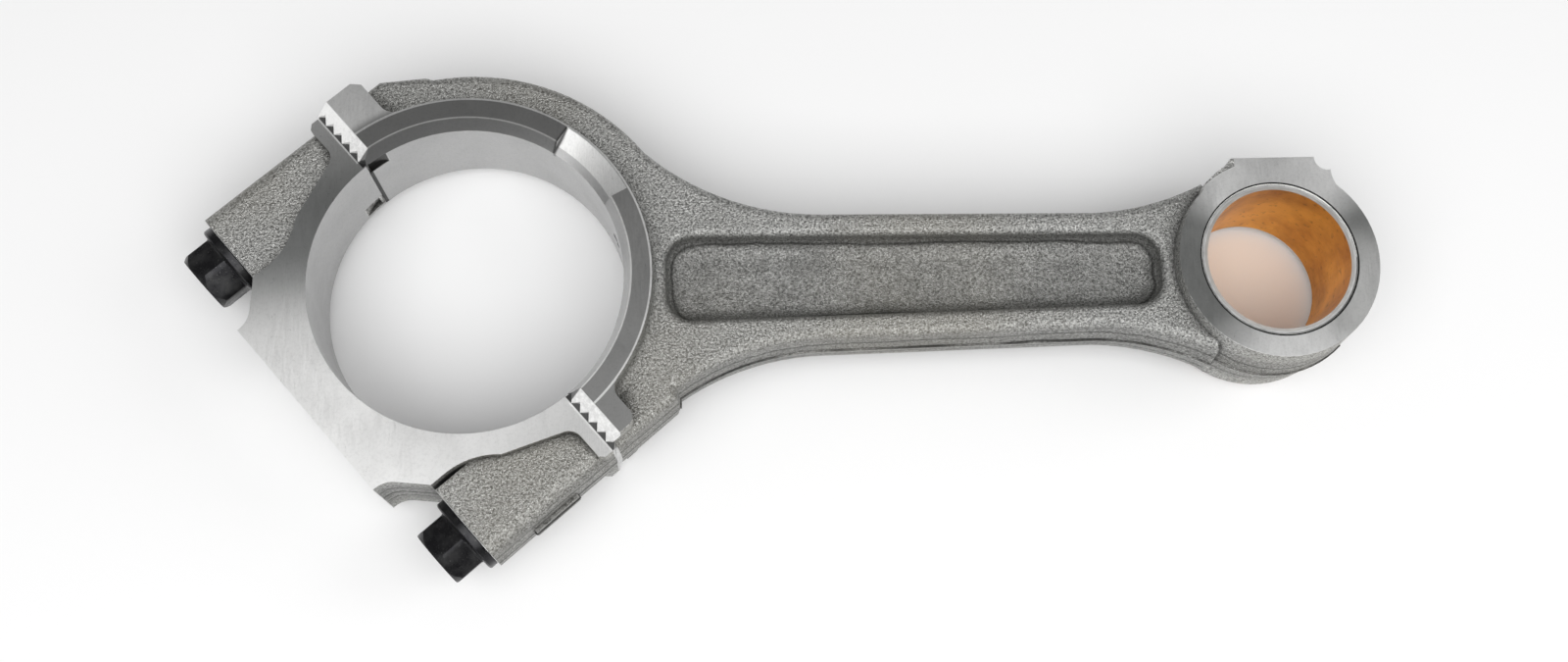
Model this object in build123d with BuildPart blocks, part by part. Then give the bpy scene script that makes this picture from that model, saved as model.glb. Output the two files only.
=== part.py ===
from build123d import *
import math
import os

# Connecting rod with an obliquely split, serrated big end.
# Origin: axis of the big-end bore, on the mid-plane of the rod.
# +X runs to the small end, both bore axes are parallel to Z.

# ---- driving dimensions, millimetres ----
centre_distance = 256.0
big_bore_radius = 49.0
rod_half_width = 22.0
cap_half_width = 17.0
bore_chamfer_radius = 51.4
ring_radius = 58.0
ring_foot_radius = 3.0
pad_neck_radius = 5.0
pad_corner_radius = 3.0
forging_radius = 70.0
forging_half_width = 13.0
forging_edge_radius = 3.0
draft_angle = 5.0

split_angle = 40.0
tooth_pitch = 4.0
tooth_height = 2.0
joint_gap = 0.1
joint_start = 46.0
joint_end = 74.0
joint_bevel = 3.8
joint_bevel_foot = 1.2

bolt_offset = 58.5
bolt_seat = 48.7
thread_radius = 7.0
thread_pitch = 1.5
thread_hole_radius = 7.1
thread_hole_depth = 32.0
bolt_reach = 27.0
fitted_band = 6.0
clearance_hole_radius = 7.6
bolt_waist_radius = 6.2
collar_radius = 12.9
collar_height = 3.0
hex_across_flats = 19.0
hex_height = 10.2

relief_start = 28.0
relief_sweep = 28.0
relief_depth = 6.2
tang_width = 6.5
tang_depth = 1.8
tang_cutter_radius = 14.0
oil_hole_radius = 2.5

cap_end = 71.5
cap_foot = 62.5
cap_foot_half = 33.0
boss_end = 71.0
flash_near = 17.0
flash_far = 34.0
flash_width = 7.0
boss_edge_radius = 5.0

shank_edge_big = 20.4
shank_edge_small = 19.0
shank_start = 112.0
shank_finish = 200.0
pocket_start = 62.0
pocket_finish = 220.0
pocket_depth = 9.5
pocket_corner_radius = 8.5
pocket_floor_radius = 6.0
pocket_rim_radius = 2.5

small_half_width = 19.0
small_ring_radius = 32.0
small_parting_radius = 33.2
pin_pad_height = 33.8
bush_radius = 25.0
lining_radius = 23.9
pin_bore_radius = 23.03
bush_setback = 0.3
through_cut = 40.0

ring_draft = math.degrees(math.atan((small_parting_radius - small_ring_radius) / small_half_width))
draft_growth = forging_half_width * math.tan(math.radians(draft_angle))

# ---- joint frame: local X along the joint face, local Y away from the cap ----
joint_x = (math.sin(math.radians(split_angle)), -math.cos(math.radians(split_angle)), 0)
joint_plane = Plane(origin=(0, 0, 0), x_dir=joint_x, z_dir=(0, 0, 1))
toward_rod = Vector(math.cos(math.radians(split_angle)), math.sin(math.radians(split_angle)), 0)

os.makedirs("parts", exist_ok=True)


def joint_line(shift):
    """Zigzag across both joint faces, straight where it crosses the bore."""
    half = tooth_height / 2
    count = int((joint_end - joint_start) / (tooth_pitch / 2))
    right = []
    for step in range(count + 1):
        height = half if step % 2 == 0 else -half
        right.append((joint_start + step * tooth_pitch / 2, height + shift))
    left = [(-along, height) for along, height in reversed(right)]
    return left + right


def bolt_plane(side, along):
    """Plane square to a bolt, its normal pointing into the rod."""
    base = joint_plane.from_local_coords(Vector(side * bolt_offset, along, 0))
    return Plane(origin=base, x_dir=(0, 0, 1), z_dir=toward_rod)


# ---- rod body: front half first, then mirrored to the back ----
with BuildPart() as upper_boss:
    with BuildSketch(joint_plane):
        with BuildLine():
            Polyline((-63.5, 34.5), (-59, 37.5), (-50, 36), (-45, 30), (-45, -6), (-72.2, -6), (-72.2, 22),
                     (-63.5, 34.5))
        make_face()
    extrude(amount=forging_half_width)
    draft(upper_boss.faces().filter_by(Axis.Z, reverse=True), Plane.XY, draft_angle)
    fillet(upper_boss.edges().group_by(Axis.Z)[-1], radius=forging_edge_radius)

with BuildPart() as lower_boss:
    with BuildSketch(joint_plane):
        with BuildLine():
            Polyline((45, -6), (72.2, -6), (72.2, 25), (62, 34), (45, 34), (45, -6))
        make_face()
    extrude(amount=forging_half_width)
    draft(lower_boss.faces().filter_by(Axis.Z, reverse=True), Plane.XY, draft_angle)
    fillet(lower_boss.edges().group_by(Axis.Z)[-1], radius=forging_edge_radius)

with BuildPart() as rod_body:
    # drafted forging: big-end disc, flares and shank
    with BuildSketch(Plane.XY):
        Circle(forging_radius + draft_growth)
        with Locations((centre_distance, 0)):
            Circle(30)
        with BuildLine():
            Line((20, 0), (20, 52))
            Line((20, 52), (52, 46.6 + draft_growth))
            ThreePointArc((52, 46.6 + draft_growth), (78, 28.0 + draft_growth),
                          (shank_start, shank_edge_big + draft_growth))
            Line((shank_start, shank_edge_big + draft_growth),
                 (shank_finish, shank_edge_small + draft_growth))
            ThreePointArc((shank_finish, shank_edge_small + draft_growth), (219.8, 22.0 + draft_growth),
                          (236, 28.2 + draft_growth))
            Line((236, 28.2 + draft_growth), (centre_distance, 0))
            mirror(about=Plane.XZ)
        make_face()
    extrude(amount=forging_half_width)
    draft(rod_body.faces().filter_by(Axis.Z, reverse=True), Plane.XY, draft_angle)
    fillet(rod_body.faces().sort_by(Axis.Z)[-1].edges(), radius=forging_edge_radius)
    add(upper_boss.part)
    add(lower_boss.part)

    # pocket that leaves the web of the I section
    with BuildSketch(Plane.XY.offset(forging_half_width)) as pocket_rim:
        with BuildLine():
            Polyline((pocket_start, -13.8), (pocket_start, 13.8), (pocket_finish, 11.6),
                     (pocket_finish, -11.6), (pocket_start, -13.8))
        make_face()
        fillet(pocket_rim.vertices(), radius=pocket_corner_radius)
    extrude(amount=-pocket_depth, mode=Mode.SUBTRACT)
    pocket_floor = rod_body.faces().filter_by(Axis.Z).group_by(Axis.Z)[-2]
    fillet(pocket_floor.edges(), radius=pocket_floor_radius)
    pocket_edge = rod_body.edges().group_by(Axis.Z)[-1].filter_by(
        lambda edge: pocket_start - 1 < edge.center().X < pocket_finish + 1 and abs((edge @ 0.5).Y) < 14)
    fillet(pocket_edge, radius=pocket_rim_radius)

    # small-end ring with its flat-topped pad
    with BuildSketch(Plane.XY):
        with Locations((centre_distance, 0)):
            Circle(small_parting_radius)
    extrude(amount=small_half_width, taper=ring_draft)
    with BuildSketch(Plane.XY):
        with BuildLine():
            Polyline((231, 18), (235, 26), (239.5, 30), (241.5, 31), (243.7, pin_pad_height))
            Line((243.7, pin_pad_height), (270.8, pin_pad_height))
            ThreePointArc((270.8, pin_pad_height), (272, 30.5), (275.7, 29.4))
            ThreePointArc((275.7, 29.4), (277.2, 23.6), (282.5, 17.8))
            Line((282.5, 17.8), (231, 18))
        make_face()
    extrude(amount=small_half_width)

    # machined big-end ring, its foot rounded into the forging
    with BuildSketch(Plane.XY):
        Circle(ring_radius)
    extrude(amount=rod_half_width)
    ring_foot = rod_body.edges().filter_by(GeomType.CIRCLE).filter_by(
        lambda edge: abs(edge.radius - ring_radius) < 0.01
        and abs((edge @ 0.5).Z - forging_half_width) < 0.01)
    fillet(ring_foot, radius=ring_foot_radius)

    # pad at each side of the joint, its neck rounded into the ring
    with BuildSketch(joint_plane) as joint_pads:
        Circle(ring_radius)
        with BuildLine():
            Polyline((-45, -10), (-72, -10), (-72, 13), (-69.5, 15.5), (-45, 15.5), (-45, -10))
        make_face()
        with BuildLine():
            Polyline((45, -10), (69.5, -10), (69.5, 10.4), (45, 10.4), (45, -10))
        make_face()
        pad_necks = joint_pads.vertices().filter_by(
            lambda corner: abs(math.hypot(corner.X, corner.Y) - ring_radius) < 0.01 and corner.Y > 0)
        fillet(pad_necks, radius=pad_neck_radius)
        pad_corners = joint_pads.vertices().filter_by(lambda corner: corner.X > 69 and corner.Y > 8)
        fillet(pad_corners, radius=pad_corner_radius)
    extrude(amount=rod_half_width)

    # bevel that runs down from the face to the joint
    with BuildSketch(Plane(origin=(0, 0, 0), x_dir=toward_rod, z_dir=joint_plane.x_dir)) as bevel_profile:
        with BuildLine():
            Polyline((joint_bevel, rod_half_width + 1), (joint_bevel, rod_half_width),
                     (-joint_bevel_foot, cap_half_width),
                     (-8, cap_half_width), (-8, rod_half_width + 1), (joint_bevel, rod_half_width + 1))
        make_face()
    extrude(amount=90, both=True, mode=Mode.SUBTRACT)
    mirror(about=Plane.XY)

    # everything on the cap side of the serrated joint goes
    with BuildSketch(joint_plane):
        with BuildLine():
            Polyline((-150, joint_gap / 2), *joint_line(joint_gap / 2), (150, joint_gap / 2),
                     (150, -150), (-150, -150), (-150, joint_gap / 2))
        make_face()
    extrude(amount=through_cut, both=True, mode=Mode.SUBTRACT)

    # bores
    with BuildSketch(Plane.XY):
        Circle(big_bore_radius)
    extrude(amount=through_cut, both=True, mode=Mode.SUBTRACT)
    with Locations((0, 0, (rod_half_width + cap_half_width) / 2)):
        Cone(big_bore_radius, bore_chamfer_radius, rod_half_width - cap_half_width, mode=Mode.SUBTRACT)
    with Locations((0, 0, -(rod_half_width + cap_half_width) / 2)):
        Cone(bore_chamfer_radius, big_bore_radius, rod_half_width - cap_half_width, mode=Mode.SUBTRACT)
    with BuildSketch(Plane.XY):
        with Locations((centre_distance, 0)):
            Circle(bush_radius)
    extrude(amount=through_cut, both=True, mode=Mode.SUBTRACT)

    # relief milled across the front of the ring, sloping down to the bore
    with BuildSketch(Plane.XZ.rotated((0, 0, relief_start))):
        with BuildLine():
            Polyline((big_bore_radius - 2, rod_half_width - relief_depth),
                     (ring_radius - 0.6, rod_half_width),
                     (ring_radius - 0.6, rod_half_width + 1), (big_bore_radius - 2, rod_half_width + 1),
                     (big_bore_radius - 2, rod_half_width - relief_depth))
        make_face()
    revolve(axis=Axis.Z, revolution_arc=relief_sweep, mode=Mode.SUBTRACT)

    # notch for the tang of the upper bearing shell, cut from the joint, and the oil hole
    with BuildSketch(joint_plane.offset(cap_half_width - tang_width)):
        with Locations((tang_cutter_radius + tang_depth - big_bore_radius - 2 * tang_depth, 0)):
            Circle(tang_cutter_radius)
    extrude(amount=tang_width, mode=Mode.SUBTRACT)
    oil_angle = math.radians(20)
    oil_direction = (math.cos(oil_angle), math.sin(oil_angle), 0)
    with BuildSketch(Plane(origin=(0, 0, 0), x_dir=(0, 0, 1), z_dir=oil_direction)):
        Circle(oil_hole_radius)
    extrude(amount=big_bore_radius + 9, mode=Mode.SUBTRACT)

    # blind bolt holes
    for side in (1, -1):
        with BuildSketch(bolt_plane(side, -5)):
            Circle(thread_hole_radius)
        extrude(amount=thread_hole_depth + 5, mode=Mode.SUBTRACT)

rod_body.part.label = "rod_body"
export_step(rod_body.part, "parts/rod_body.step")


# ---- bearing cap ----
with BuildPart() as bearing_cap:
    # machined middle with its foot and the two joint flanges
    with BuildSketch(joint_plane):
        with BuildLine():
            Polyline((0, 3), (cap_end, 3), (cap_end, -4), (70, -5.5), (61.5, -5.5))
            ThreePointArc((61.5, -5.5), (58.9, -6.4), (57.2, -8.6))
            Line((57.2, -8.6), (50, -27))
            ThreePointArc((50, -27), (44.8, -35.3), (43.3, -44))
            Line((43.3, -44), (43.3, -bolt_seat))
            Polyline((43.3, -bolt_seat), (41.5, -50.3), (35.5, -56))
            ThreePointArc((35.5, -56), (33.6, -58.8), (cap_foot_half, -cap_foot))
            Line((cap_foot_half, -cap_foot), (0, -cap_foot))
            mirror(about=Plane.YZ)
        make_face()
    extrude(amount=cap_half_width)
    mirror(about=Plane.XY)

    # forged boss under each bolt, drafted and rounded along its outer side
    boss_reach = boss_end - bolt_offset
    for side in (1, -1):
        with BuildSketch(bolt_plane(side, -bolt_seat)) as boss_section:
            with BuildLine():
                Polyline((-forging_half_width, -side * 14), (-forging_half_width, side * boss_reach),
                         (0, side * (boss_reach + draft_growth)), (forging_half_width, side * boss_reach),
                         (forging_half_width, -side * 14), (-forging_half_width, -side * 14))
            make_face()
            boss_corners = boss_section.vertices().filter_by(
                lambda corner: side * corner.Y > 0 and corner.X != 0)
            fillet(boss_corners, radius=boss_edge_radius)
        extrude(amount=bolt_seat)
        # trimmed flash left along the parting line
        with BuildSketch(bolt_plane(side, -flash_far)):
            with Locations((0, side * (boss_reach + draft_growth - 0.6))):
                Rectangle(flash_width, 2.8)
        extrude(amount=flash_far - flash_near)

    # serrated joint face, left a hair below the rod's
    with BuildSketch(joint_plane):
        with BuildLine():
            Polyline((-150, -joint_gap / 2), *joint_line(-joint_gap / 2), (150, -joint_gap / 2),
                     (150, 150), (-150, 150), (-150, -joint_gap / 2))
        make_face()
    extrude(amount=through_cut, both=True, mode=Mode.SUBTRACT)

    # half of the big-end bore
    with BuildSketch(Plane.XY):
        Circle(big_bore_radius)
    extrude(amount=through_cut, both=True, mode=Mode.SUBTRACT)

    # notch for the tang of the lower bearing shell, towards the rear
    with BuildSketch(joint_plane.offset(-cap_half_width + 1)):
        with Locations((tang_cutter_radius + tang_depth - big_bore_radius - 2 * tang_depth, 0)):
            Circle(tang_cutter_radius)
    extrude(amount=tang_width, mode=Mode.SUBTRACT)

    # clearance holes for the bolts
    for side in (1, -1):
        with BuildSketch(bolt_plane(side, -bolt_seat - 5)):
            Circle(clearance_hole_radius)
        extrude(amount=bolt_seat + 12, mode=Mode.SUBTRACT)

bearing_cap.part.label = "bearing_cap"
export_step(bearing_cap.part, "parts/bearing_cap.step")

# ---- small-end bush: steel shell with a bronze lining ----
with BuildPart() as bush_shell:
    with BuildSketch(Plane.XY):
        with Locations((centre_distance, 0)):
            Circle(bush_radius)
            Circle(lining_radius, mode=Mode.SUBTRACT)
    extrude(amount=small_half_width - bush_setback, both=True)
    chamfer(bush_shell.edges().filter_by(GeomType.CIRCLE).group_by(SortBy.RADIUS)[-1], length=0.5)

bush_shell.part.label = "bush_shell"
export_step(bush_shell.part, "parts/bush_shell.step")

with BuildPart() as bush_lining:
    with BuildSketch(Plane.XY):
        with Locations((centre_distance, 0)):
            Circle(lining_radius)
            Circle(pin_bore_radius, mode=Mode.SUBTRACT)
    extrude(amount=small_half_width - bush_setback, both=True)

bush_lining.part.label = "bush_lining"
export_step(bush_lining.part, "parts/bush_lining.step")

# ---- cap bolts ----
for name, side in (("rod_bolt_upper", -1), ("rod_bolt_lower", 1)):
    with BuildPart() as rod_bolt:
        # hexagon head on its collar
        with BuildSketch(bolt_plane(side, -bolt_seat - collar_height)):
            RegularPolygon(hex_across_flats / 2, 6, major_radius=False, rotation=12)
        extrude(amount=-hex_height)
        with BuildSketch(bolt_plane(side, -bolt_seat - collar_height - hex_height)):
            Circle(hex_across_flats / 2 + 0.1)
        extrude(amount=hex_height, taper=-30, mode=Mode.INTERSECT)
        with BuildSketch(bolt_plane(side, -bolt_seat - collar_height)):
            Circle(collar_radius)
        extrude(amount=collar_height)

        # shank: fitted band, waist, then the threaded end
        shank_length = bolt_seat + bolt_reach
        with BuildSketch(bolt_plane(side, -bolt_seat)) as shank_section:
            Circle(bolt_waist_radius)
        extrude(amount=shank_length)
        with BuildSketch(bolt_plane(side, -bolt_seat)):
            Circle(thread_radius)
        extrude(amount=fitted_band)
        thread_count = int((bolt_reach - 2) / thread_pitch)
        for turn in range(thread_count):
            with BuildSketch(bolt_plane(side, 1.5 + turn * thread_pitch)):
                Circle(thread_radius)
            extrude(amount=thread_pitch * 0.6)
    rod_bolt.part.label = name
    export_step(rod_bolt.part, "parts/" + name + ".step")
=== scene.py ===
import bmesh
import bpy
import math
from mathutils import Matrix, Vector


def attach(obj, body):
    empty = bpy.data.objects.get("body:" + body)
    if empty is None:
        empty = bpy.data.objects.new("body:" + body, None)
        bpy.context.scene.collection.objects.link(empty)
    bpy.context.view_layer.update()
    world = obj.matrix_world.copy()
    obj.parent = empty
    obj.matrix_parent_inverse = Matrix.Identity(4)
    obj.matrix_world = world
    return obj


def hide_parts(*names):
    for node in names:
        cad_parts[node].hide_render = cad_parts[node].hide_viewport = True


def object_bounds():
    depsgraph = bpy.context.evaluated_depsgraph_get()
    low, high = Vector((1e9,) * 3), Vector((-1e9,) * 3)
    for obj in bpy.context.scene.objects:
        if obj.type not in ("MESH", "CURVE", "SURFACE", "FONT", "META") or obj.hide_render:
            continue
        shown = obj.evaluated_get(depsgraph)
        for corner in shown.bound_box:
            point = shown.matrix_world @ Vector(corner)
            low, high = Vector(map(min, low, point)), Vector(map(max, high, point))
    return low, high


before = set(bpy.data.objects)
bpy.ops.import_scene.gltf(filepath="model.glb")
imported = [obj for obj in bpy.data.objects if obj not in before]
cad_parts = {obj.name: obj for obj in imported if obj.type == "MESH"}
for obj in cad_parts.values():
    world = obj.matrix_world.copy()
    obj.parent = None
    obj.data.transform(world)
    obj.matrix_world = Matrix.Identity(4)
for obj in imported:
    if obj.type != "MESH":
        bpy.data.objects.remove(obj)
cad_low, cad_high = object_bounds()

# ---------------------------------------------------------------- sizes that the looks refer to, metres
# The big-end axis is the origin. Depths are measured from the mid-plane, and the joint is at SPLIT to Y.
HAIR = 0.0001    # the usual margin between two areas
SKIN = 0.00015   # how far below a machined face its finish reaches
SPLIT = math.radians(40)
TOWARD_ROD = Vector((math.cos(SPLIT), math.sin(SPLIT), 0))
ALONG_JOINT = Vector((math.sin(SPLIT), -math.cos(SPLIT), 0))

BORE = 0.049
BORE_CHAMFER = 0.0514
RING = 0.058
ROD_FACE = 0.022
CAP_FACE = 0.017
RELIEF_FLOOR = 0.0150
RELIEF_END = math.radians(56)

TOOTH = 0.00105  # half the height of the joint's teeth
BEVEL_FOOT = -0.0016
BEVEL_TOP = 0.00382

SMALL_END_X = 0.256
SMALL_END_START = 0.215
SMALL_FACE = 0.019
SMALL_RING = 0.0330
BUSH_SEAT = 0.025
PAD_START = 0.24
PAD_LEFT = 0.2446
PAD_FOOT = 0.018
PAD_TOP = 0.0335

SHANK_MIDDLE = 0.15
FLANK = 0.0112   # depth that the drafted flanks reach
DIE_SEAM = 0.0062
CORNER_SHADE_REACH = 0.009
CAP_FOOT = -0.0623
SEAT = 0.0487
SEAT_INNER = 0.0436
BOLT_OFFSET = 0.0585


# ---------------------------------------------------------------- node helpers
class Graph:
    """Short names for the shader nodes used below. A mask is 1 inside its area and 0 outside it."""

    def __init__(self, name):
        self.material = bpy.data.materials.new(name)
        self.material.use_nodes = True
        self.tree = self.material.node_tree
        self.tree.nodes.clear()
        output = self.tree.nodes.new("ShaderNodeOutputMaterial")
        self.shader = self.tree.nodes.new("ShaderNodeBsdfPrincipled")
        self.tree.links.new(self.shader.outputs[0], output.inputs[0])
        coordinates = self.tree.nodes.new("ShaderNodeTexCoord")
        self.position = coordinates.outputs["Object"]
        separate = self.tree.nodes.new("ShaderNodeSeparateXYZ")
        self.tree.links.new(self.position, separate.inputs[0])
        self.x, self.y, self.z = separate.outputs
        self.depth = self.math("ABSOLUTE", self.z)

    def put(self, value, socket):
        """Sets a socket to a number or colour, or links it."""
        if isinstance(value, (int, float)):
            socket.default_value = value
        elif isinstance(value, tuple):
            socket.default_value = (*value, 1.0)
        else:
            self.tree.links.new(value, socket)

    def set(self, socket, value):
        """Puts a value on the shader itself."""
        self.put(value, self.shader.inputs[socket])

    def math(self, operation, a, b=0.0):
        node = self.tree.nodes.new("ShaderNodeMath")
        node.operation = operation
        self.put(a, node.inputs[0])
        self.put(b, node.inputs[1])
        return node.outputs[0]

    def remap(self, value, low, high, to_low=0.0, to_high=1.0, smooth=False):
        node = self.tree.nodes.new("ShaderNodeMapRange")
        node.interpolation_type = "SMOOTHSTEP" if smooth else "LINEAR"
        self.put(value, node.inputs["Value"])
        node.inputs["From Min"].default_value = low
        node.inputs["From Max"].default_value = high
        node.inputs["To Min"].default_value = to_low
        node.inputs["To Max"].default_value = to_high
        return node.outputs[0]

    def above(self, value, edge, soft=HAIR):
        """Mask of what is higher than the edge."""
        return self.remap(value, edge - soft, edge + soft, smooth=True)

    def below(self, value, edge, soft=HAIR):
        """Mask of what is lower than the edge."""
        return self.remap(value, edge - soft, edge + soft, 1.0, 0.0, smooth=True)

    def within(self, value, reach, soft=HAIR):
        """Mask of what is nearer to zero than reach."""
        return self.below(self.math("ABSOLUTE", value), reach, soft)

    def outside(self, mask):
        return self.math("SUBTRACT", 1.0, mask)

    def every(self, *masks):
        """Where all masks meet; a number among them weakens the result."""
        result = masks[0]
        for mask in masks[1:]:
            result = self.math("MULTIPLY", result, mask)
        return result

    def any(self, *masks):
        """Where at least one mask is."""
        result = masks[0]
        for mask in masks[1:]:
            result = self.math("MAXIMUM", result, mask)
        return result

    def stretched(self, scale, turn=0.0):
        """Object coordinates turned about Z, then scaled by axis."""
        node = self.tree.nodes.new("ShaderNodeMapping")
        node.inputs["Rotation"].default_value = (0, 0, turn)
        node.inputs["Scale"].default_value = scale
        self.put(self.position, node.inputs["Vector"])
        return node.outputs[0]

    def noise(self, scale, detail=2.0, roughness=0.5, vector=None):
        node = self.tree.nodes.new("ShaderNodeTexNoise")
        node.inputs["Scale"].default_value = scale
        node.inputs["Detail"].default_value = detail
        node.inputs["Roughness"].default_value = roughness
        self.put(vector or self.position, node.inputs["Vector"])
        return node.outputs[0]

    def radius(self, centre_x=0.0):
        """Distance from an axis parallel to Z."""
        dx = self.math("SUBTRACT", self.x, centre_x)
        dx_squared = self.math("MULTIPLY", dx, dx)
        dy_squared = self.math("MULTIPLY", self.y, self.y)
        return self.math("SQRT", self.math("ADD", dx_squared, dy_squared))

    def along(self, direction):
        """Distance along a level direction."""
        x_share = self.math("MULTIPLY", self.x, direction.x)
        y_share = self.math("MULTIPLY", self.y, direction.y)
        return self.math("ADD", x_share, y_share)

    def around(self, centre_x):
        """Level tangent of circles about an axis parallel to Z."""
        node = self.tree.nodes.new("ShaderNodeCombineXYZ")
        self.put(self.math("MULTIPLY", self.y, -1.0), node.inputs[0])
        self.put(self.math("SUBTRACT", self.x, centre_x), node.inputs[1])
        return node.outputs[0]

    def cavity(self, reach):
        """0 on open faces, towards 1 deep in corners."""
        node = self.tree.nodes.new("ShaderNodeAmbientOcclusion")
        node.samples = 8
        node.inputs["Distance"].default_value = reach
        return self.outside(node.outputs["AO"])

    def mix(self, factor, a, b):
        """Mixes two colours."""
        node = self.tree.nodes.new("ShaderNodeMix")
        node.data_type = "RGBA"
        self.put(factor, node.inputs[0])
        self.put(a, node.inputs[6])
        self.put(b, node.inputs[7])
        return node.outputs[2]

    def blend(self, factor, a, b):
        """Mixes two numbers."""
        node = self.tree.nodes.new("ShaderNodeMix")
        node.data_type = "FLOAT"
        self.put(factor, node.inputs[0])
        self.put(a, node.inputs[2])
        self.put(b, node.inputs[3])
        return node.outputs[0]

    def choose(self, factor, a, b):
        """Mixes two vectors."""
        node = self.tree.nodes.new("ShaderNodeMix")
        node.data_type = "VECTOR"
        self.put(factor, node.inputs[0])
        self.put(a, node.inputs[4])
        self.put(b, node.inputs[5])
        return node.outputs[1]

    def bump(self, height, strength, distance):
        node = self.tree.nodes.new("ShaderNodeBump")
        node.inputs["Distance"].default_value = distance
        node.inputs["Strength"].default_value = strength
        self.put(height, node.inputs["Height"])
        return node.outputs[0]


# ---------------------------------------------------------------- steel of rod and cap
JOINT_BLACK = (0.02, 0.02, 0.02)
# painted highlight along machined edges
EDGE_HIGHLIGHT = (0.90, 0.90, 0.89)
# painted shade on the bore walls
BORE_SHADE_GREY = (0.40, 0.40, 0.40)


def forging(g):
    """Shot-blasted scale: colour with painted shade in corners and on flanks, roughness and height."""
    grain = g.noise(1300, 3.0, 0.65)
    sparkle = g.noise(2600, 1.0, 0.5)
    cloud = g.noise(42, 4.0, 0.6)
    warm = g.noise(11, 2.0, 0.5)
    colour = g.mix(g.remap(grain, 0.32, 0.70), (0.10, 0.10, 0.095), (0.66, 0.66, 0.64))
    colour = g.mix(g.remap(cloud, 0.44, 0.72, 0.0, 0.18), colour, (0.17, 0.17, 0.162))
    colour = g.mix(g.remap(warm, 0.48, 0.70, 0.0, 0.30), colour, (0.30, 0.275, 0.215))
    colour = g.mix(g.remap(sparkle, 0.62, 0.72, 0.0, 0.65), colour, (0.95, 0.95, 0.93))

    # lines drawn by the die along the flanks, which wander a little in height
    sway = g.math("MULTIPLY", g.math("SUBTRACT", g.noise(26, 3.0, 0.6), 0.5), 0.006)
    height = g.math("ABSOLUTE", g.math("ADD", g.z, sway))
    flank = g.below(g.depth, FLANK, 8 * HAIR)
    parting = g.every(flank, g.below(height, 8 * HAIR, 7 * HAIR))
    seam = g.every(flank, g.within(g.math("SUBTRACT", height, DIE_SEAM), 4 * HAIR, 6 * HAIR))
    # the flanks are painted darker all over as shade, with long streaks along them on top
    streaks = g.noise(1, 4.0, 0.7, g.stretched((45, 45, 420)))
    streak_and_flank_shade = g.every(flank, g.remap(streaks, 0.45, 0.70, 0.25, 0.55))
    colour = g.mix(streak_and_flank_shade, colour, (0.09, 0.09, 0.085))
    colour = g.mix(g.every(g.any(parting, seam), 0.85), colour, (0.035, 0.035, 0.032))

    # painted shade in the corners, which also stands for dark scale left there
    corner = g.remap(g.cavity(CORNER_SHADE_REACH), 0.25, 0.64, 0.0, 0.90)
    colour = g.mix(corner, colour, (0.022, 0.022, 0.020))
    roughness = g.blend(corner, g.remap(grain, 0.3, 0.7, 0.56, 0.38), 0.7)
    relief = g.math("ADD", g.math("MULTIPLY", grain, 0.8), g.math("MULTIPLY", sparkle, 0.25))
    return colour, roughness, relief


def machined(g):
    """Satin milled steel: colour, roughness and height."""
    lay = g.noise(1, 3.0, 0.7, g.stretched((2400, 170, 900), math.radians(-12)))
    stain = g.noise(48, 3.0, 0.55)
    spots = g.noise(620, 2.0, 0.6)
    colour = g.mix(g.remap(stain, 0.42, 0.70), (0.74, 0.74, 0.73), (0.58, 0.58, 0.575))
    colour = g.mix(g.remap(lay, 0.35, 0.70, 0.0, 0.22), colour, (0.26, 0.26, 0.26))
    colour = g.mix(g.remap(spots, 0.68, 0.76, 0.0, 0.5), colour, (0.16, 0.16, 0.16))
    roughness = g.math("ADD", g.remap(lay, 0.3, 0.7, 0.27, 0.36), g.remap(stain, 0.4, 0.7, 0.0, 0.07))
    return colour, roughness, lay


def rod_and_cap_steel(name, machined_area, painted_light_and_joints, tangent):
    """Forging that turns to machined steel inside machined_area; painted_light_and_joints are (mask,
    colour) pairs of painted light, painted shade and dark joints.
    """
    g = Graph(name)
    area = machined_area(g)
    matte_area = joint_bevel(g)
    rough_colour, rough_gloss, rough_height = forging(g)
    fine_colour, fine_gloss, fine_height = machined(g)
    for mask, tint in painted_light_and_joints(g):
        fine_colour = g.mix(mask, fine_colour, tint)
    handling = g.noise(1100, 3.0, 0.7)
    fine_colour = g.mix(g.remap(handling, 0.48, 0.76, 0.0, 0.14), fine_colour, (0.08, 0.08, 0.08))
    g.set("Base Color", g.mix(area, rough_colour, fine_colour))
    g.set("Metallic", g.blend(matte_area, g.blend(area, 0.85, 1.0), 0.25))
    g.set("Roughness", g.blend(matte_area, g.blend(area, rough_gloss, fine_gloss), 0.55))
    g.set("Anisotropic", g.every(area, 0.4))
    g.set("Tangent", tangent(g))
    height = g.blend(area, rough_height, g.math("MULTIPLY", fine_height, 0.04))
    g.set("Normal", g.bump(height, 0.9, 6 * HAIR))
    return g.material


def joint_bevel(g):
    """Sloping strip above the joint, where the rod's teeth show."""
    toward = g.along(TOWARD_ROD)
    strip = g.every(g.below(toward, BEVEL_TOP), g.above(toward, BEVEL_FOOT))
    depths = g.every(g.above(g.depth, CAP_FACE - 6 * HAIR), g.below(g.depth, ROD_FACE - HAIR))
    return g.every(strip, depths, g.above(g.radius(), BORE_CHAMFER + HAIR))


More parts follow.
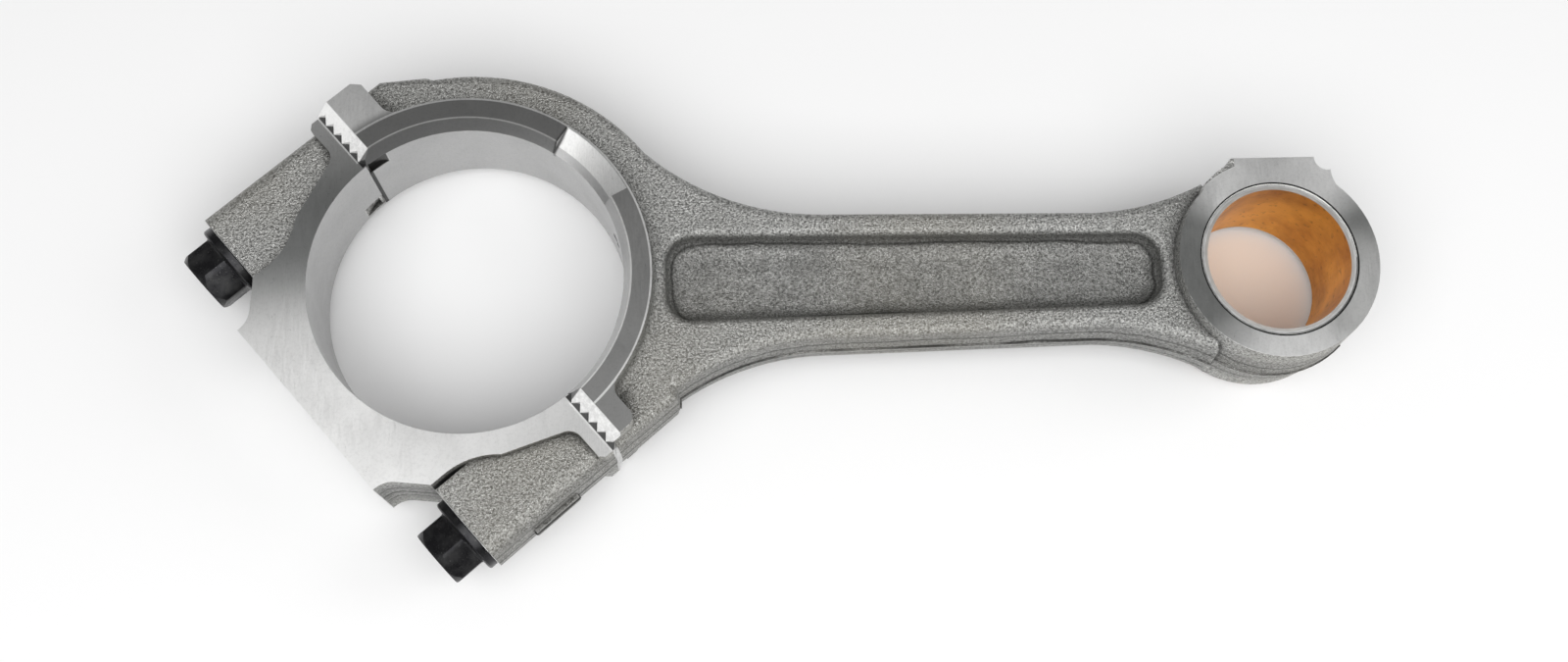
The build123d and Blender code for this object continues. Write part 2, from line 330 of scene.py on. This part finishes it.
def rod_machined(g):
    """Where the rod is machined: the rest of it is as forged."""
    radius = g.radius()
    from_small = g.radius(SMALL_END_X)
    ring = g.above(g.depth, ROD_FACE - SKIN)
    pad_left = g.every(g.above(from_small, SMALL_RING), g.below(g.x, PAD_LEFT), g.above(g.y, PAD_FOOT))
    small_end = g.every(g.above(g.depth, SMALL_FACE - SKIN), g.above(g.x, SMALL_END_START))
    small_face = g.every(small_end, g.outside(pad_left))
    bore = g.below(radius, BORE_CHAMFER + HAIR / 2)
    teeth = g.every(g.below(g.along(TOWARD_ROD), TOOTH), g.above(radius, BORE))
    relief = g.every(g.above(g.depth, RELIEF_FLOOR), g.below(radius, RING - 5 * HAIR))
    pad_top = g.every(g.above(g.y, PAD_TOP), g.above(g.x, PAD_START))
    bush_seat = g.below(from_small, BUSH_SEAT + 2 * HAIR)
    return g.any(ring, small_face, bore, teeth, joint_bevel(g), relief, pad_top, bush_seat)


def rod_painted_light_and_joints(g):
    """Painted light and shade on the rod's machined faces, and its dark joint lines."""
    radius = g.radius()
    from_small = g.radius(SMALL_END_X)
    toward = g.along(TOWARD_ROD)

    # ring face, its two edges, and the joint pads outside it: the face has painted shade, the edges and
    # pads painted highlights
    ring_face = g.above(g.depth, ROD_FACE - HAIR)
    outer_edge = g.every(ring_face, g.above(radius, RING - 6 * HAIR), g.below(radius, RING + HAIR))
    at_bore = g.every(g.above(radius, BORE_CHAMFER - HAIR), g.below(radius, BORE_CHAMFER + 4 * HAIR))
    inner_edge = g.every(ring_face, at_bore)
    lit_upper_pad = g.every(g.outside(g.below(radius, RING + 10 * HAIR, 20 * HAIR)), g.above(g.y, 0.0))

    # big-end bore, its chamfer, the tang notch and the step where the relief ends: painted shade on the
    # wall, the chamfer, in the notch and at the step, and a dark joint line on the wall
    wall = g.below(radius, BORE + HAIR)
    wall_at_joint = g.every(wall, g.below(toward, 12 * HAIR))
    chamfer_band = g.every(g.above(radius, BORE + HAIR), g.below(radius, BORE_CHAMFER - HAIR))
    chamfer = g.every(chamfer_band, g.above(g.depth, CAP_FACE), g.below(g.depth, ROD_FACE - HAIR))
    notch_band = g.every(g.above(radius, BORE + 2 * HAIR), g.below(radius, BORE_CHAMFER))
    notch_shade = g.every(notch_band, g.below(g.depth, CAP_FACE))
    from_step = g.along(Vector((-math.sin(RELIEF_END), math.cos(RELIEF_END), 0)))
    step_front = g.every(g.above(g.depth, CAP_FACE - 20 * HAIR), g.above(g.z, 0.0))
    step_reach = g.every(g.above(g.y, 0.03), g.below(radius, RING - 8 * HAIR))
    step = g.every(g.within(from_step, 5 * HAIR, 4 * HAIR), step_front, step_reach)

    # small-end face, darker to the left and right of the bush, and the seam round the bush: a painted
    # highlight on the face, painted shade at its sides, lighter again on the right, and a dark seam
    near_face = g.every(g.above(g.depth, SMALL_FACE - 3 * HAIR), g.below(g.depth, SMALL_FACE + 5 * HAIR))
    small_face = g.every(near_face, g.above(g.x, SMALL_END_START))
    slope = g.math("DIVIDE", g.math("ADD", g.y, 0.003), g.math("MAXIMUM", from_small, 0.01))
    shaded_sides = g.every(small_face, g.within(slope, 0.72, 0.24))
    lit_right_side = g.every(shaded_sides, g.above(g.x, 0.268, 0.012), g.below(g.y, 0.006, 0.010))
    seam_band = g.every(g.above(from_small, BUSH_SEAT - HAIR), g.below(from_small, BUSH_SEAT + 4 * HAIR))
    seam = g.every(seam_band, g.above(g.depth, SMALL_FACE - 3 * HAIR))

    mottle = g.remap(g.noise(700, 2.0, 0.6), 0.35, 0.60, 1.0, 0.45)
    return (
        (g.every(ring_face, 0.92), (0.25, 0.25, 0.246)),
        (g.every(lit_upper_pad, 0.92), (0.96, 0.96, 0.95)),
        (g.every(chamfer, 0.80), (0.36, 0.36, 0.36)),
        (g.every(wall, 0.85), BORE_SHADE_GREY),
        (g.every(inner_edge, 0.7), EDGE_HIGHLIGHT),
        (g.every(outer_edge, 0.8), EDGE_HIGHLIGHT),
        (g.every(small_face, 0.9), (0.93, 0.93, 0.92)),
        (g.every(shaded_sides, 0.88), (0.15, 0.155, 0.15)),
        (g.every(lit_right_side, 0.85), (0.66, 0.66, 0.65)),
        # painted highlight on the joint bevel, mottled
        (g.every(joint_bevel(g), mottle), (0.98, 0.98, 0.97)),
        (wall_at_joint, JOINT_BLACK),
        (notch_shade, (0.05, 0.05, 0.048)),
        (g.every(step, 0.8), (0.06, 0.06, 0.058)),
        (seam, JOINT_BLACK),
    )


def cap_machined(g):
    """Where the cap is machined: its bolt bosses are as forged."""
    radius = g.radius()
    toward = g.along(TOWARD_ROD)
    face = g.above(g.depth, CAP_FACE - SKIN)
    bore = g.below(radius, BORE + 2 * HAIR)
    teeth = g.above(toward, -TOOTH)
    foot = g.below(toward, CAP_FOOT)
    from_middle = g.math("ABSOLUTE", g.along(ALONG_JOINT))
    seat = g.every(g.below(toward, -SEAT + 2 * HAIR), g.above(from_middle, SEAT_INNER))
    return g.any(face, bore, teeth, foot, seat)


def cap_painted_light_and_joints(g):
    """Painted light and shade on the cap's machined faces, and its dark joint lines."""
    radius = g.radius()
    toward = g.along(TOWARD_ROD)
    face = g.above(g.depth, CAP_FACE - 2 * HAIR)
    wall = g.below(radius, BORE + HAIR)
    wall_at_joint = g.every(wall, g.above(toward, 7.5 * HAIR))
    # painted shadow in the notches between the joint's teeth
    notch_shade = g.every(face, g.above(toward, -11 * HAIR), g.above(radius, BORE + 3 * HAIR))

    # the face is dark in the middle and light low down, with soft wandering borders: painted shade and a
    # painted reflection
    drift = g.math("ADD", g.y, g.math("MULTIPLY", g.noise(14, 1.0, 0.4), 0.02))
    shaded_middle = g.every(face, g.above(drift, 0.004, 0.016), g.below(drift, 0.056, 0.022))
    low = g.every(face, g.below(drift, -0.010, 0.020), g.below(g.along(ALONG_JOINT), 0.052, 0.012))
    return (
        (g.every(shaded_middle, 0.85), (0.15, 0.155, 0.152)),
        (g.every(low, 0.8), (0.95, 0.95, 0.94)),
        (g.every(wall, 0.85), BORE_SHADE_GREY),
        (wall_at_joint, JOINT_BLACK),
        (g.every(notch_shade, 0.95), (0.03, 0.03, 0.03)),
    )


def rod_tangent(g):
    """Polishing direction: round the nearer bore."""
    return g.choose(g.above(g.x, SHANK_MIDDLE), g.around(0.0), g.around(SMALL_END_X))


def cap_tangent(g):
    """Polishing direction: round the big-end bore."""
    return g.around(0.0)


# ---------------------------------------------------------------- bush and bolt finishes
def bush_steel():
    g = Graph("bush_steel")
    lay = g.noise(1, 2.0, 0.6, g.stretched((500, 500, 4200)))
    stain = g.noise(90, 3.0, 0.5)
    g.set("Base Color", g.mix(g.remap(stain, 0.4, 0.7), (0.86, 0.86, 0.85), (0.70, 0.70, 0.69)))
    g.set("Metallic", 1.0)
    g.set("Roughness", g.remap(lay, 0.3, 0.7, 0.28, 0.40))
    g.set("Normal", g.bump(lay, 0.12, 0.00005))
    return g.material


def bronze():
    """Turned bronze, with a paler end face."""
    g = Graph("bronze_lining")
    lay = g.noise(1, 2.0, 0.6, g.stretched((260, 260, 5200)))
    cloud = g.noise(60, 4.0, 0.6)
    spots = g.noise(420, 2.0, 0.6)
    end_face = g.above(g.depth, SMALL_FACE - 6 * HAIR)
    colour = g.mix(g.remap(cloud, 0.36, 0.66), (0.80, 0.39, 0.055), (0.50, 0.205, 0.022))
    colour = g.mix(g.remap(spots, 0.60, 0.74, 0.0, 0.55), colour, (0.20, 0.085, 0.02))
    colour = g.mix(end_face, colour, (0.62, 0.60, 0.57))
    g.set("Base Color", colour)
    g.set("Metallic", 1.0)
    g.set("Roughness", g.remap(lay, 0.3, 0.7, 0.32, 0.46))
    g.set("Normal", g.bump(lay, 0.15, 0.00006))
    return g.material


def black_oxide():
    """Blackened steel with fine bright wear."""
    g = Graph("black_oxide")
    cloud = g.noise(190, 4.0, 0.6)
    fine = g.noise(2100, 2.0, 0.6)
    colour = g.mix(g.remap(cloud, 0.4, 0.7), (0.022, 0.022, 0.024), (0.055, 0.055, 0.056))
    colour = g.mix(g.remap(fine, 0.64, 0.74, 0.0, 0.6), colour, (0.22, 0.22, 0.21))
    g.set("Base Color", colour)
    g.set("Metallic", 0.85)
    g.set("Roughness", g.remap(cloud, 0.35, 0.7, 0.24, 0.42))
    g.set("Normal", g.bump(fine, 0.22, 0.00008))
    return g.material


def dress(node, material):
    """Gives a CAD node its finished material."""
    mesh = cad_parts[node].data
    mesh.materials.clear()
    mesh.materials.append(material)


dress("rod_body", rod_and_cap_steel("rod_steel", rod_machined, rod_painted_light_and_joints, rod_tangent))
dress("bearing_cap", rod_and_cap_steel("cap_steel", cap_machined, cap_painted_light_and_joints, cap_tangent))
dress("bush_shell", bush_steel())
dress("bush_lining", bronze())
bolt_finish = black_oxide()


# ---------------------------------------------------------------- bolts with a real thread
# Heights run along the bolt, from the head towards the rod, with zero at the joint.
SEAT_GAP = 0.00003
COLLAR_HEIGHT = 0.003
COLLAR = 0.0129
COLLAR_TOP = -SEAT - COLLAR_HEIGHT
HEX_HEIGHT = 0.0102
HEX_HALF = 0.0095
HEX_CORNER = HEX_HALF * 1.132
HEX_TURN = math.radians(12)
HEAD_TOP = COLLAR_TOP - HEX_HEIGHT
HEAD_SLOPE = 1 / math.tan(math.radians(30))
UNDER_HEAD = -SEAT - SEAT_GAP
BAND_END = -SEAT + 0.0060
WAIST = 0.0062
THREAD_START = 0.0017
THREAD_RADIUS = 0.0070
THREAD_DEPTH = 0.0009
THREAD_PITCH = 0.0015
THREAD_FLANK = 0.38
RINGS_PER_TURN = 6
BOLT_END = 0.027
THREAD_LENGTH = BOLT_END - 0.0030
SIDES = 72


def hex_radius(angle):
    """Radius of the hexagon, its corners slightly rounded."""
    from_middle = (angle - HEX_TURN) % math.radians(60) - math.radians(30)
    return min(HEX_HALF / math.cos(from_middle), HEX_CORNER)


def thread_radius(angle, height):
    """Radius of the helical thread, flat on the crests."""
    phase = (height / THREAD_PITCH - angle / math.tau) % 1.0
    groove = max(0.0, 1.0 - abs(phase - 0.5) / THREAD_FLANK)
    return THREAD_RADIUS - THREAD_DEPTH * groove


def round_rings(profile):
    """Plain circular rings from (height, radius) pairs."""
    return [lambda angle, ring=ring: ring for ring in profile]


def chamfer_ring(inset):
    """Ring on the head's conical chamfer, lower at the hexagon's corners."""
    return lambda angle: (HEAD_TOP + inset + (hex_radius(angle) - HEX_HALF) * HEAD_SLOPE, hex_radius(angle))


def thread_ring(height):
    return lambda angle: (height, thread_radius(angle, height))


def bolt_rings():
    """Each ring gives (height, radius) at an angle, from the head to the tip."""
    dished_top = (
        (HEAD_TOP + 0.0004, 0.0046),
        (HEAD_TOP + 0.0004, 0.0056),
        (HEAD_TOP + 0.0001, 0.0063),
        (HEAD_TOP, 0.0067),
        (HEAD_TOP, HEX_HALF - 0.0002),
    )
    collar_to_waist = (
        (COLLAR_TOP, COLLAR - 0.0009),
        (COLLAR_TOP + 0.0002, COLLAR - 0.0003),
        (COLLAR_TOP + 0.0006, COLLAR),
        (-SEAT - 0.0003, COLLAR),
        (UNDER_HEAD, COLLAR - 0.0003),
        (UNDER_HEAD, THREAD_RADIUS),
        (BAND_END, THREAD_RADIUS),
        (BAND_END + 0.0006, WAIST),
        (0.0008, WAIST),
        (0.0015, 0.0063),
    )
    tip = (
        (BOLT_END - 0.0010, 0.0061),
        (BOLT_END, 0.0052),
    )
    hexagon = [
        chamfer_ring(0.0002),
        chamfer_ring(0.0006),
        lambda angle: (COLLAR_TOP - 0.0005, hex_radius(angle)),
        lambda angle: (COLLAR_TOP - 0.0001, hex_radius(angle) + 0.0003),
    ]
    step = THREAD_PITCH / RINGS_PER_TURN
    count = int(THREAD_LENGTH / step)
    thread = [thread_ring(THREAD_START + index * step) for index in range(count)]
    return round_rings(dished_top) + hexagon + round_rings(collar_to_waist) + thread + round_rings(tip)


def make_bolt(name, side):
    """A flanged hexagon bolt as one closed mesh; side is -1 for the upper bolt, 1 for the lower."""
    builder = bmesh.new()
    base = ALONG_JOINT * BOLT_OFFSET * side
    angles = [HEX_TURN + math.tau * index / SIDES for index in range(SIDES)]

    def place(ring, angle):
        height, radius = ring(angle)
        across = Vector((0, 0, 1)) * math.cos(angle) + ALONG_JOINT * math.sin(angle)
        return base + TOWARD_ROD * height + across * radius

    rows = []
    for ring in bolt_rings():
        rows.append([builder.verts.new(place(ring, angle)) for angle in angles])
    for first, second in zip(rows, rows[1:]):
        for index in range(SIDES):
            following = (index + 1) % SIDES
            builder.faces.new((first[index], second[index], second[following], first[following]))
    builder.faces.new(rows[0])
    builder.faces.new(list(reversed(rows[-1])))
    bmesh.ops.recalc_face_normals(builder, faces=builder.faces)
    mesh = bpy.data.meshes.new(name)
    builder.to_mesh(mesh)
    builder.free()
    mesh.shade_smooth()
    mesh.set_sharp_from_angle(angle=math.radians(32))
    mesh.materials.append(bolt_finish)
    bolt = bpy.data.objects.new(name, mesh)
    bpy.context.collection.objects.link(bolt)
    return bolt


for place_name, side in (("upper", -1), ("lower", 1)):
    bolt = make_bolt("cap_bolt_" + place_name, side)
    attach(bolt, place_name + "_bolt")
    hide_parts("rod_bolt_" + place_name)


# ---------------------------------------------------------------- flash left along the parting line
FLASH_RADIUS = 0.00045
OUTLINE_START = 0.066
JOINT_CLEARANCE = 0.018
HOLE_CLEARANCE = 0.0085
HOLE_END = 0.036
SMALL_END_CLEARANCE = 0.030
SMALL_END_TIP = 0.280
SMALL_PAD_X = 0.235
SMALL_PAD_Y = 0.0300
TOP_LIMIT = 0.0703
BOSS_SIDE = 0.0700
BOSS_FOOT = -0.0470
BOSS_TOP = -0.0070


def on_rod_outline(point):
    """True on the outer parting line of the rod, clear of bores, bolt holes and the joint."""
    toward = point.dot(TOWARD_ROD)
    in_hole = abs(abs(point.dot(ALONG_JOINT)) - BOLT_OFFSET) < HOLE_CLEARANCE and toward < HOLE_END
    in_eye = math.hypot(point.x - SMALL_END_X, point.y) < SMALL_END_CLEARANCE
    on_pad = point.y > SMALL_PAD_Y and point.x > SMALL_PAD_X
    left_out = in_hole or in_eye or on_pad or point.x > SMALL_END_TIP or point.y > TOP_LIMIT
    return math.hypot(point.x, point.y) > OUTLINE_START and toward > JOINT_CLEARANCE and not left_out


def on_cap_outline(point):
    """True on the outer sides of the cap's bolt bosses."""
    toward = point.dot(TOWARD_ROD)
    return abs(point.dot(ALONG_JOINT)) > BOSS_SIDE and BOSS_FOOT < toward < BOSS_TOP


def make_flash(name, node, body, keep):
    """A thin ridge along the outline that a node has in the parting plane."""
    builder = bmesh.new()
    builder.from_mesh(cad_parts[node].data)
    everything = builder.verts[:] + builder.edges[:] + builder.faces[:]
    bmesh.ops.bisect_plane(builder, geom=everything, plane_co=(0, 0, 0), plane_no=(0, 0, 1),
                           clear_inner=True, clear_outer=True)
    left_out = [vertex for vertex in builder.verts if not keep(vertex.co)]
    bmesh.ops.delete(builder, geom=left_out, context="VERTS")
    bmesh.ops.remove_doubles(builder, verts=builder.verts, dist=HAIR / 2)
    outline = bpy.data.meshes.new(name)
    builder.to_mesh(outline)
    builder.free()
    ridge = bpy.data.objects.new(name, outline)
    bpy.context.collection.objects.link(ridge)
    bpy.ops.object.select_all(action="DESELECT")
    ridge.select_set(True)
    bpy.context.view_layer.objects.active = ridge
    bpy.ops.object.convert(target="CURVE")
    ridge.data.bevel_depth = FLASH_RADIUS
    ridge.data.bevel_resolution = 2
    ridge.data.use_fill_caps = True
    bpy.ops.object.convert(target="MESH")
    ridge.data.materials.clear()
    ridge.data.materials.append(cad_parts[node].data.materials[0])
    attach(ridge, body)


make_flash("rod_parting_flash", "rod_body", "rod", on_rod_outline)
make_flash("cap_parting_flash", "bearing_cap", "cap", on_cap_outline)


# ---------------------------------------------------------------- stage and light
FLOOR_SIZE = 8
FLOOR_GAP = 0.0005
WORLD_STRENGTH = 0.27


def pale_floor():
    g = Graph("pale_floor")
    cloud = g.noise(3, 2.0, 0.5)
    g.set("Base Color", g.mix(cloud, (0.93, 0.93, 0.93), (0.95, 0.95, 0.95)))
    g.set("Roughness", 0.95)
    return g.material


def soft_light(name, position, target, width, depth, power):
    light = bpy.data.lights.new(name, "AREA")
    light.shape = "RECTANGLE"
    light.size = width
    light.size_y = depth
    light.energy = power
    lamp = bpy.data.objects.new(name, light)
    lamp.location = position
    lamp.rotation_euler = (Vector(target) - Vector(position)).to_track_quat("-Z", "Y").to_euler()
    bpy.context.collection.objects.link(lamp)


bpy.ops.mesh.primitive_plane_add(size=FLOOR_SIZE, location=(0.1, 0, cad_low.z - FLOOR_GAP))
floor = bpy.context.object
floor.name = "floor"
floor.data.materials.append(pale_floor())

world = bpy.data.worlds.new("studio")
world.use_nodes = True
background = world.node_tree.nodes["Background"]
background.inputs["Color"].default_value = (1.0, 1.0, 1.0, 1.0)
background.inputs["Strength"].default_value = WORLD_STRENGTH
bpy.context.scene.world = world

soft_light("ceiling_box", (0.0, -0.56, 1.10), (0.05, -0.10, 0), width=2.0, depth=1.3, power=19)
soft_light("side_box", (1.25, 0.1, 0.8), (0.2, 0, 0), width=0.6, depth=0.8, power=3)
bpy.context.scene.view_settings.view_transform = "Standard"


# ---------------------------------------------------------------- camera
CAMERA_LENS = 38.67
CAMERA_PLACE = Vector((0.0741, -0.1543, 0.5207))
CAMERA_FORWARD = Vector((0.0464, 0.2585, -0.9649)).normalized()
CAMERA_RIGHT = Vector((0.9986, -0.0355, 0.0385)).normalized()

camera_data = bpy.data.cameras.new("camera")
camera_data.lens = CAMERA_LENS
camera_data.sensor_width = 36.0
camera_data.clip_start = 0.01
camera = bpy.data.objects.new("camera", camera_data)
camera_up = CAMERA_RIGHT.cross(CAMERA_FORWARD).normalized()
camera_right = CAMERA_FORWARD.cross(camera_up).normalized()
turn = Matrix((camera_right, camera_up, -CAMERA_FORWARD)).transposed()
camera.matrix_world = Matrix.Translation(CAMERA_PLACE) @ turn.to_4x4()
bpy.context.collection.objects.link(camera)
bpy.context.scene.camera = camera


# ---------------------------------------------------------------- update of the view layer
bpy.context.view_layer.update()
